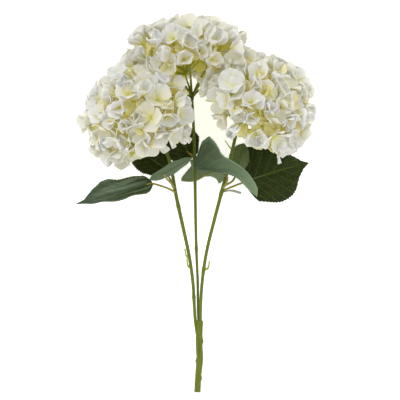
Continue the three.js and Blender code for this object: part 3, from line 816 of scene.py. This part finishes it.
def cluster_tree():
    """Geometry nodes that set sepals and beads on points, and give stalks their thickness."""
    tree = bpy.data.node_groups.new("floret_cluster", "GeometryNodeTree")
    node = partial(add, tree)
    for label, kind in (
        ("Geometry", "Geometry"), ("Sepal patterns", "Collection"), ("Bead radius", "Float"),
        ("Stalk sides", "Int"), ("Sepal material", "Material"), ("Bead material", "Material"),
        ("Stalk material", "Material"),
    ):
        tree.interface.new_socket(label, in_out="INPUT", socket_type="NodeSocket" + kind)
    tree.interface.new_socket("Geometry", in_out="OUTPUT", socket_type="NodeSocketGeometry")
    given = node("NodeGroupInput", out=None).outputs
    named = "GeometryNodeInputNamedAttribute"
    read = {
        name: node(named, {"Name": name}, data_type=MARK_KINDS.get(name, "FLOAT"))
        for name in ("is_sepal", "is_bead", "kind", "turn", "size", "thick")
    }
    sepal_points, bead_points = (
        node("GeometryNodeMeshToPoints", {"Mesh": given["Geometry"], "Selection": read[name]})
        for name in ("is_sepal", "is_bead")
    )
    turn = node("FunctionNodeEulerToRotation", {0: read["turn"]})
    choice = {"Collection": given["Sepal patterns"], "Separate Children": True, "Reset Children": True}
    patterns = node("GeometryNodeCollectionInfo", choice)
    picked = {"Points": sepal_points, "Instance": patterns, "Pick Instance": True}
    turned_and_sized = {"Rotation": turn, "Scale": read["size"]}
    on_points = "GeometryNodeInstanceOnPoints"
    sepals = node(on_points, {**picked, "Instance Index": read["kind"], **turned_and_sized})
    ball = node("GeometryNodeMeshIcoSphere", {"Radius": given["Bead radius"], "Subdivisions": 2})
    bead = node("GeometryNodeSetShadeSmooth", {"Geometry": ball})
    beads = node(on_points, {"Points": bead_points, "Instance": bead, **turned_and_sized})
    lines = node("GeometryNodeMeshToCurve", {"Mesh": given["Geometry"]})
    ring = {"Resolution": given["Stalk sides"], "Radius": 1.0}
    section = node("GeometryNodeCurvePrimitiveCircle", ring)
    swept = {"Curve": lines, "Profile Curve": section, "Scale": read["thick"], "Fill Caps": True}
    stalks = node("GeometryNodeCurveToMesh", swept)
    parts = []
    for part, label in ((sepals, "Sepal"), (beads, "Bead"), (stalks, "Stalk")):
        real = node("GeometryNodeRealizeInstances", {"Geometry": part})
        finish = {"Geometry": real, "Material": given[label + " material"]}
        parts.append(node("GeometryNodeSetMaterial", finish))
    whole = node("GeometryNodeJoinGeometry", out=None)
    for part in parts:
        tree.links.new(part, whole.inputs[0])
    node("NodeGroupOutput", {0: whole.outputs[0]}, None)
    return tree


FLORET_LEAN = 0.3
FLORET_SCATTER = 2.5
PEDICEL_BOW = -2.5
RAY_BOW = 2.5
HUB_RADII = (2.2, 2.8, 2.2)
RAY_RADII = (1.8, 1.5, 1.4)


def scatter(draw, size):
    return Vector([draw.gauss(0, 1) for _ in range(3)]) * size


def floret_frame(facing, draw):
    """A floret's own axes as a matrix: facing out, give or take, with a random spin."""
    lean = scatter(draw, FLORET_LEAN)
    spin = Matrix.Rotation(draw.uniform(0, math.pi / 2), 3, "Z")
    return (facing + lean).to_track_quat("Z", "Y").to_matrix() @ spin


def bowed(start, end, bow, count):
    """Places along a line from start to end that bows outward by `bow`."""
    shares = [i / (count - 1) for i in range(count)]
    return [start.lerp(end, share) + bow * math.sin(math.pi * share) for share in shares]


# Degrees that a floret's sepals stand up from flat, and then how far each sepal strays: round the
# floret and about its own length in radians, up and down in degrees.
OPENNESS = (14, 26, 36, 46, 56, 66)
FAN_STRAY = 0.25
ROLL_STRAY = 0.35
LIFT_STRAY = 16
STALK_RADII = (1.3, 1.1, 0.9)


def cluster_of(head, tip, florets, sizes, draw):
    """One cyme: its stalk, its pedicels and its florets."""
    cluster = Draft(CLUSTER_MARKS)
    start = head["root"].lerp(tip, RAY_REACH)
    hub = head["root"].lerp(tip, HUB_REACH)
    forward = (hub - start).normalized()
    cluster.line([start - forward * 2, hub, hub + forward], STALK_RADII, (0.0, 0.5))
    radius = sizes.pedicel_radius / MM
    radii = (radius * 1.2, radius, radius * 1.5)
    for base, facing, depth in florets:
        place = base + scatter(draw, FLORET_SCATTER)
        axes = floret_frame(facing, draw)
        foot = place - axes.col[2] * 2
        bow = (foot - head["middle"]).normalized() * PEDICEL_BOW
        cluster.line(bowed(hub, foot, bow, 6) + [place], radii, (0.3, 1.0))
        size = draw.uniform(0.84, 1.12) * (1.0 - 0.3 * depth)
        marks = dict(size=size, depth=min(1.0, depth * 3.4), tint=draw.random())
        cluster.point(place + axes.col[2] * 0.4, is_bead=True, turn=tuple(axes.to_euler()), **marks)
        closed = draw.choice(OPENNESS)
        for k in range(4):
            around = Matrix.Rotation(k * math.pi / 2 + draw.uniform(-FAN_STRAY, FAN_STRAY), 3, "Z")
            lift = math.radians(closed + draw.uniform(-LIFT_STRAY, LIFT_STRAY))
            raised = Matrix.Rotation(-lift, 3, "Y")
            rolled = Matrix.Rotation(draw.uniform(-ROLL_STRAY, ROLL_STRAY), 3, "X")
            turn = tuple((axes @ around @ raised @ rolled).to_euler())
            cluster.point(place, is_sepal=True, kind=draw.randrange(SEPAL_KINDS), turn=turn, **marks)
    return cluster


def grow(cluster, name, tree, patterns, sizes):
    """Runs the cluster's node tree and keeps the result as a plain mesh."""
    seed = bpy.data.objects.new(name + "_seed", cluster.mesh(name + "_seed"))
    bpy.context.scene.collection.objects.link(seed)
    modifier = seed.modifiers.new("cluster", "NODES")
    modifier.node_group = tree
    values = {
        "Sepal patterns": patterns, "Bead radius": sizes.bead_radius, "Stalk sides": 8,
        "Sepal material": finishes["petal"], "Bead material": finishes["bead"],
        "Stalk material": finishes["pedicel"],
    }
    for item in tree.interface.items_tree:
        if item.in_out == "INPUT" and item.name in values:
            modifier[item.identifier] = values[item.name]
    graph = bpy.context.evaluated_depsgraph_get()
    mesh = bpy.data.meshes.new_from_object(seed.evaluated_get(graph), depsgraph=graph)
    seed.modifiers.remove(modifier)
    bpy.data.objects.remove(seed)
    mesh.name = name
    lay_down(mesh)
    return mesh


def rays(head, stalks):
    """The fan of thick stalks from the head's node to its cymes."""
    skin = Draft()
    crown = head_axes(head)[0]
    root = head["root"]
    limb(skin, [root - crown * 3, root, root + crown * 3], HUB_RADII, 14, reach=(0.0, 0.1))
    for tip, _ in stalks:
        path = bowed(root, root.lerp(tip, RAY_REACH), crown * RAY_BOW, 8)
        limb(skin, path, RAY_RADII, 12, reach=(0.0, 0.9))
    return skin


class HYDRANGEA_OT_heads(bpy.types.Operator):
    """Builds the rays and the clusters of florets of the three flower heads"""

    bl_idname = "hydrangea.heads"
    bl_label = "Flower heads"

    def execute(self, context):
        sizes = context.scene.hydrangea_sizes
        patterns = sepal_patterns(sizes)
        tree = cluster_tree()
        draw = random.Random(7)
        for name, head in HEADS.items():
            stalks = cymes(head)
            label = f"{name}_head_rays_skin"
            piece(label, rays(head, stalks).mesh(label, "ray"), f"{name}_head_rays")
            for i, (tip, florets) in enumerate(stalks, 1):
                cluster = cluster_of(head, tip, florets, sizes, draw)
                label = f"{name}_cyme_{i}_florets"
                piece(label, grow(cluster, label, tree, patterns, sizes), f"{name}_cyme_{i}")
        for pattern in list(patterns.objects):
            bpy.data.objects.remove(pattern)
        bpy.data.collections.remove(patterns)
        return {"FINISHED"}


# ---- Leaves ----

LEAVES = {
    "left_long_leaf": dict(
        shows="leaf_satin", petiole=[(-30.5, 279, -8), (-41, 285, -2), (-62, 291.5, 6)], join=0.08,
        midrib=[(-62, 292, 6), (-90, 284.5, 12), (-117, 275, 14), (-144, 267.5, 12), (-170, 263, 8)],
        face=[(0, 0.72, 0.69)] * 2, fold=(14, 16),
        left=(12, 21, 19, 20, 15, 10, 7, 3, 0), right=(16, 17, 19, 22, 27, 28, 20, 5, 0),
    ),
    "left_inner_leaf": dict(
        shows="leaf_under", petiole=[(-33, 286, -8), (-36.5, 292, 3), (-42, 298, 14)], join=0.25,
        midrib=[(-66, 297, 19), (-46, 305, 23), (-29, 314.5, 24), (-17, 321.5, 22), (-6, 328, 18)],
        face=[(-0.35, 0.5, -0.8), (-0.35, 0.4, -0.85)], fold=(10, 16),
        left=(4, 8, 9, 8, 6.5, 4.5, 0), right=(4, 7, 9, 9, 7, 4.5, 0),
    ),
    "left_back_leaf": dict(
        shows="leaf_deep", under="left", petiole=[(-34, 290, -9), (-39, 299, -20)], join=0.08,
        midrib=[(-44, 312, -26), (-62, 325, -34), (-82, 337, -43), (-106, 348, -51)],
        face=[(0.1, 0.1, 1), (0, 0.3, 1)], fold=(6, 8),
        left=(14, 20, 24, 24, 20, 10, 0), right=(14, 21, 26, 26, 20, 10, 0),
    ),
    "centre_back_leaf": dict(
        shows="leaf_deep", under="left", petiole=[(-3.9, 326, -10), (-8, 332, -18)], join=0.2,
        midrib=[(-10, 327, -26), (-17, 345, -29), (-22, 362, -32), (-28, 378, -35)],
        face=[(0.1, 0.2, 1), (0, 0.3, 1)], fold=(8, 8),
        left=(20, 28, 30, 28, 22, 12, 0), right=(10, 16, 20, 22, 18, 10, 0),
    ),
    "centre_folded_leaf": dict(
        shows="leaf_fold", petiole=[(-3.3, 314, -9.6), (1, 315, -3), (5, 315, 3)], join=0.1,
        midrib=[
            (-5, 314, 3), (12, 312, 8), (29, 310, 14), (46.5, 309, 20),
            (61, 302, 23), (73, 288, 23), (83, 273, 19),
        ],
        face=[(-0.1, 0.1, -1), (0.3, 0.3, -1)], fold=(10, 4),
        left=(3, 3, 4, 5, 6, 6.5, 6.5, 5, 0),
        right=(24, 38, 46, 39, 29, 20, 14, 11, 9.5, 9, 8.5, 6.5, 0),
    ),
    # Its underside is painted lighter against the shade of the heads.
    "centre_low_leaf": dict(
        shows="leaf_pale", petiole=[(35.4, 284, -5), (41, 293, 0), (41.6, 301, 0.6)], join=0.08,
        midrib=[(39, 305, -0.6), (25, 307, -8), (10, 303.5, -16), (-4, 297, -21), (-23, 295.5, -24)],
        face=[(0, 0.05, -1), (0, -0.05, -1)], fold=(8, 12),
        left=(8, 16, 22, 25, 28, 28, 23, 16, 4), right=(10, 15, 9, 4, 2, 2, 2, 1.5, 0),
    ),
    "right_big_leaf": dict(
        shows="leaf_deep", under="right", petiole=[(34.5, 281, -5), (48, 287, -8)], join=0.12,
        midrib=[(66, 294.5, -17), (97, 304.5, -26), (128, 314, -33), (160, 322, -38)],
        face=[(0.05, 0.35, 0.93), (0, 0.3, 0.95)], fold=(5, 5),
        left=(31, 40, 46, 47, 46, 42, 35, 25, 15, 5, 0), right=(30, 36, 41, 44, 46, 45, 41, 33, 17, 6, 0),
    ),
    "right_inner_leaf": dict(
        shows="leaf_young", under="right", petiole=[(36, 288, -5), (50, 296, -9)], join=0.08,
        midrib=[(55, 306, -8), (57, 320, -12), (61, 335, -17), (67, 350, -23)],
        face=[(0.2, 0.4, 0.9)] * 2, fold=(12, 16),
        left=(7, 11, 14, 15, 13, 9, 0), right=(6, 10, 14, 15, 13, 9, 0),
    ),
}

UNDERSIDE_SHOWS = ("left_inner_leaf", "centre_folded_leaf", "centre_low_leaf")
BLADE_STATIONS = 110
BLADE_HALF_CELLS = 10
TEETH = 22
PETIOLE_RADII = (1.9, 1.45, 1.45, 1.3)
RIB_RADII = (1.0, 0.7, 0.3)
RIB_DROP = 0.45
BLADE_START, BLADE_SPAN = 0.004, 0.992  # as shares of the midrib
FOOT_ROUNDING = 0.07
WAVE = 1.3  # slow waves of the blade
FLUTTER = 0.9  # quick waves of its margin
SOFT_TEETH = 0.3  # the teeth of the leaves that aren't old, as a share of an old leaf's


def midrib_of(leaf):
    """The places of a leaf's midrib, which settle with the head that it lies under."""
    settled = HEADS[leaf["under"]]["settled"] if "under" in leaf else 0
    return [at((across, along, lift + settled)) for across, along, lift in leaf["midrib"]]


def blade_width(widths, t):
    """The half width of one side of a blade, its foot rounded."""
    return max(between(widths, t) * min(1.0, t / FOOT_ROUNDING) ** 0.5, 0.4)


def blade(leaf, sizes, seed):
    """A leaf's blade as a thin shell: toothed, quilted between its veins, its margin waving."""
    stations = smooth_path(midrib_of(leaf), BLADE_STATIONS * 4 + 1)
    foot_face, tip_face = (towards(face) for face in leaf["face"])
    depth = sizes.quilt_depth / MM
    rows = []
    for i in range(BLADE_STATIONS + 1):
        t = BLADE_START + BLADE_SPAN * i / BLADE_STATIONS
        place = t * (len(stations) - 1)
        low = min(int(place), len(stations) - 2)
        middle = stations[low].lerp(stations[low + 1], place - low)
        forward = (stations[low + 1] - stations[low]).normalized()
        left = foot_face.lerp(tip_face, t).cross(forward).normalized()
        up = forward.cross(left).normalized()
        row = []
        for j in range(-BLADE_HALF_CELLS, BLADE_HALF_CELLS + 1):
            half = 1 if j < 0 else 0
            share = j / BLADE_HALF_CELLS
            off = abs(share)
            fold = math.radians(leaf["fold"][half])
            width = blade_width(leaf[("left", "right")[half]], t)
            tooth = 0.0
            if abs(j) == BLADE_HALF_CELLS:
                saw = (t * TEETH) % 1
                sharp = 1.0 if leaf["shows"] == "leaf_deep" else SOFT_TEETH
                tooth = sizes.tooth_depth / MM * sharp * (saw - 0.5) * min(1.0, width / 8)
            out = width * share + math.copysign(tooth, share)
            vein = math.cos(2 * math.pi * VEIN_PAIRS * (t - VEIN_SLANT * off**VEIN_BEND) + math.pi)
            quilt = depth * (0.5 + 0.5 * vein) * math.sin(math.pi * min(1.0, off * 1.1))
            quilt *= min(1, width / 12)
            wave = WAVE * noise.noise(Vector((t * 5, share * 2, seed))) * off * min(1, width / 10)
            wave += FLUTTER * math.sin(t * 19 + seed + 2 * share) * off**3 * min(1, width / 10)
            rise = abs(out) * math.sin(fold) + quilt + wave
            row.append((middle + left * out * math.cos(fold) + up * rise, t, share))
        rows.append(row)
    return rows


def shell(skin, rows, thickness):
    """Adds a blade's two faces and its edge. Finish 0 is the upper side and 1 the underside."""
    grid = np.array([[tuple(place) for place, t, share in row] for row in rows])
    along = np.gradient(grid, axis=0)
    across = np.gradient(grid, axis=1)
    normals = np.cross(along, across)
    normals /= np.linalg.norm(normals, axis=2, keepdims=True)
    upper, lower = [], []
    for i, row in enumerate(rows):
        for j, (place, t, share) in enumerate(row):
            lift = Vector(normals[i][j]) * thickness / 2
            upper.append(skin.point(place + lift, reach=t, side=share))
            lower.append(skin.point(place - lift, reach=t, side=share))
    skin.shell(upper, lower, len(rows[0]), under=1)


class HYDRANGEA_OT_leaves(bpy.types.Operator):
    """Builds the leaves, each with its petiole"""

    bl_idname = "hydrangea.leaves"
    bl_label = "Leaves"

    def execute(self, context):
        sizes = context.scene.hydrangea_sizes
        for seed, (name, leaf) in enumerate(LEAVES.items()):
            skin = Draft()
            shell(skin, blade(leaf, sizes, seed), sizes.leaf_thickness / MM)
            along = smooth_path(midrib_of(leaf), 101)
            join = round(leaf["join"] * 100)
            path = smooth_path([at(place) for place in leaf["petiole"]] + [along[join]], 30)
            limb(skin, path, PETIOLE_RADII, 12, 2)
            rib = [place - towards(leaf["face"][0]) * RIB_DROP for place in along[join:96]]
            brown = name == "centre_low_leaf"
            limb(skin, rib, RIB_RADII, 8, 2 if brown else 1, reach=(leaf["join"], 0.96))
            under = name in UNDERSIDE_SHOWS
            sides = ["leaf_deep", leaf["shows"]] if under else [leaf["shows"], "leaf_under"]
            mesh = skin.mesh(f"{name}_blade", *sides, "petiole")
            lay_down(mesh)
            piece(f"{name}_blade", mesh, name)
        return {"FINISHED"}


# ---- Buds, twig and sheath ----

SHOOTS = {
    "left_upper_bud": ([(-11, 187, -1.6), (-15.6, 191, 0), (-17.6, 201, 1)], [1.7, 1.4, 0.9]),
    "left_lower_bud": ([(-8.6, 173, -0.8), (-13.2, 177, 0), (-14.6, 187, 1)], [1.7, 1.4, 0.9]),
    "right_bud": ([(9.4, 171, 0.4), (15.2, 174, 1), (17, 184, 2)], [1.7, 1.5, 1.0]),
    "right_twig": ([(49.5, 338, -6.4), (44, 345, -3), (39, 352, 0)], [1.2, 0.9, 0.5]),
    "right_sheath": ([(36, 280, -4), (47, 282, 4), (61, 278.5, 7)], [1.0, 1.0, 2.0, 1.6]),
}


class HYDRANGEA_OT_shoots(bpy.types.Operator):
    """Builds the hooked buds, the bare twig and the curled sheath"""

    bl_idname = "hydrangea.shoots"
    bl_label = "Buds, twig and sheath"

    def execute(self, context):
        for name, (places, radii) in SHOOTS.items():
            skin = Draft()
            path = smooth_path([at(place) for place in places], 24)
            limb(skin, path, radii, 12, swell=lambda t, angle: 0.2 * math.sin(angle * 2 + t * 7) * t)
            finish = "sheath" if name == "right_sheath" else "bud"
            piece(f"{name}_skin", skin.mesh(f"{name}_skin", finish), name)
        return {"FINISHED"}


# ---- Stage ----

VIEW_CENTRE = (3.8, 268.8, 0)
VIEW_WIDTH = 560
VIEW_DISTANCE = 2000
SENSOR = 36
FLOOR_REACH = 6.0  # metres


def aim(made, target):
    made.rotation_euler = (target - made.location).to_track_quat("-Z", "Y").to_euler()


def area_light(name, place, target, size, power):
    lamp = bpy.data.lights.new(name, "AREA")
    lamp.shape = "DISK"
    lamp.size = size
    lamp.energy = power
    made = bpy.data.objects.new(name, lamp)
    made.location = place
    bpy.context.scene.collection.objects.link(made)
    aim(made, target)


class HYDRANGEA_OT_stage(bpy.types.Operator):
    """Builds the floor, the lights and the camera"""

    bl_idname = "hydrangea.stage"
    bl_label = "Stage"

    def execute(self, context):
        scene = context.scene
        mesh = bpy.data.meshes.new("floor")
        ways = ((-1, -1), (1, -1), (1, 1), (-1, 1))
        mesh.from_pydata([(x * FLOOR_REACH, y * FLOOR_REACH, 0) for x, y in ways], [], [(0, 1, 2, 3)])
        floor = bpy.data.objects.new("floor", mesh)
        white = (1, 1, 1, 1)
        made = blank(
            "floor_matt_white", Roughness=0.9, Specular_IOR_Level=0.1, Base_Color=linear("#fbfbfb"),
            Emission_Color=white, Emission_Strength=0.66,
        )[0]
        floor.data.materials.append(made)
        scene.collection.objects.link(floor)

        world = bpy.data.worlds.new("studio")
        world.use_nodes = True
        light = world.node_tree.nodes["Background"].inputs
        light["Color"].default_value = white
        light["Strength"].default_value = 0.78
        scene.world = world
        middle = at(VIEW_CENTRE) * MM
        area_light("key", Vector((-1.1, 1.0, 1.7)), middle, 0.9, 13)
        area_light("fill", Vector((1.3, -0.4, 1.6)), middle, 1.4, 5)
        scene.view_settings.view_transform = "Standard"

        lens = bpy.data.cameras.new("camera")
        lens.sensor_width = SENSOR
        lens.lens = SENSOR * VIEW_DISTANCE / VIEW_WIDTH
        camera = bpy.data.objects.new("camera", lens)
        back, rise = towards((0, 0, 1)), towards((0, 1, 0))
        camera.location = middle + back * VIEW_DISTANCE * MM
        camera.rotation_euler = Matrix((rise.cross(back), rise, back)).transposed().to_euler()
        scene.collection.objects.link(camera)
        scene.camera = camera
        return {"FINISHED"}


class HYDRANGEA_PT_sidebar(bpy.types.Panel):
    """Lists the branch's sizes, colours and building steps"""

    bl_label = "Hydrangea"
    bl_idname = "HYDRANGEA_PT_sidebar"
    bl_space_type = "VIEW_3D"
    bl_region_type = "UI"
    bl_category = "Hydrangea"

    def draw(self, context):
        for group in (context.scene.hydrangea_sizes, context.scene.hydrangea_colours):
            box = self.layout.box()
            for name in group.__annotations__:
                box.prop(group, name)
        for operator in OPERATORS:
            self.layout.operator(operator.bl_idname)


OPERATORS = (
    HYDRANGEA_OT_stems,
    HYDRANGEA_OT_heads,
    HYDRANGEA_OT_leaves,
    HYDRANGEA_OT_shoots,
    HYDRANGEA_OT_stage,
)
CLASSES = (HydrangeaSizes, HydrangeaColours, *OPERATORS, HYDRANGEA_PT_sidebar)


def register():
    for made in CLASSES:
        bpy.utils.register_class(made)
    bpy.types.Scene.hydrangea_sizes = bpy.props.PointerProperty(type=HydrangeaSizes)
    bpy.types.Scene.hydrangea_colours = bpy.props.PointerProperty(type=HydrangeaColours)


def unregister():
    del bpy.types.Scene.hydrangea_sizes
    del bpy.types.Scene.hydrangea_colours
    for made in reversed(CLASSES):
        bpy.utils.unregister_class(made)


def main():
    register()
    make_finishes()
    bpy.ops.hydrangea.stems()
    bpy.ops.hydrangea.heads()
    bpy.ops.hydrangea.leaves()
    bpy.ops.hydrangea.shoots()
    bpy.ops.hydrangea.stage()


if __name__ == "__main__":
    main()
